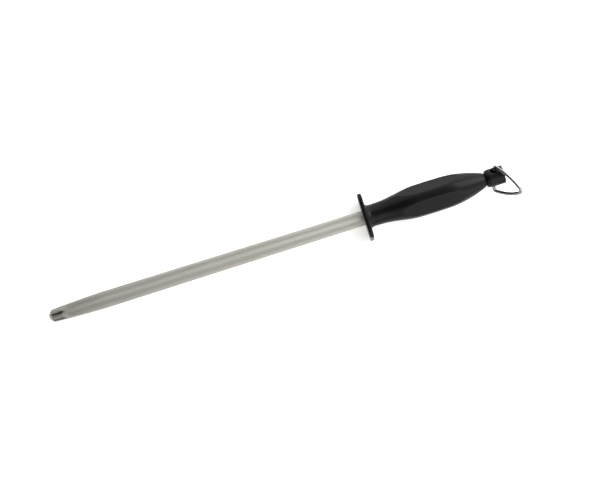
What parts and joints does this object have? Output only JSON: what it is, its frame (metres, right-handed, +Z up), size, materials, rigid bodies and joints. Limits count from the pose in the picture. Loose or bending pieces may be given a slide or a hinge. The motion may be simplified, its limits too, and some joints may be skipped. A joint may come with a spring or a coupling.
{
  "type": "knife sharpening steel",
  "caption": "Butcher's sharpening steel: round ridged rod with a fluted tapering tip, faceted black handle with a guard, and a wire hanging ring on a swivel.",
  "frame": {"origin": "where the rod's axis crosses the guard's front face", "axes": "+X along the tool towards the handle's end, so the rod points along -X; +Y along the guard's long side; +Z up, square to the guard's flat side that the tool rests on"},
  "size_m": [0.4405, 0.0444, 0.0306],
  "materials": {
    "rod_steel": "finely ridged along its length",
    "handle_plastic": "satin",
    "head_plastic": "satin",
    "washer_plastic": "smooth",
    "hardware_steel": "turned",
    "ring_chrome": "polished"
  },
  "bodies": {
    "tool": {"sharpening_rod": "rod_steel", "handle": "handle_plastic", "tang_washer": "hardware_steel", "tang_nut": "hardware_steel", "thrust_washer": "washer_plastic", "swivel_screw": "hardware_steel", "screw_washer": "hardware_steel"},
    "swivel": {"swivel_head": "head_plastic", "end_cap": "head_plastic"},
    "ring": {"hanging_ring": "ring_chrome"}
  },
  "joints": [
    {"name": "swivel_turn", "type": "hinge", "parent": "tool", "child": "swivel", "pos_m": [0.12248, 0, 0], "axis": [1, 0, 0], "continuous": true},
    {"name": "ring_fold", "type": "hinge", "parent": "swivel", "child": "ring", "pos_m": [0.12248, 0, 0], "axis": [0.1045, 0.5561, 0.8245], "range_deg": [-90, 198]}
  ]
}
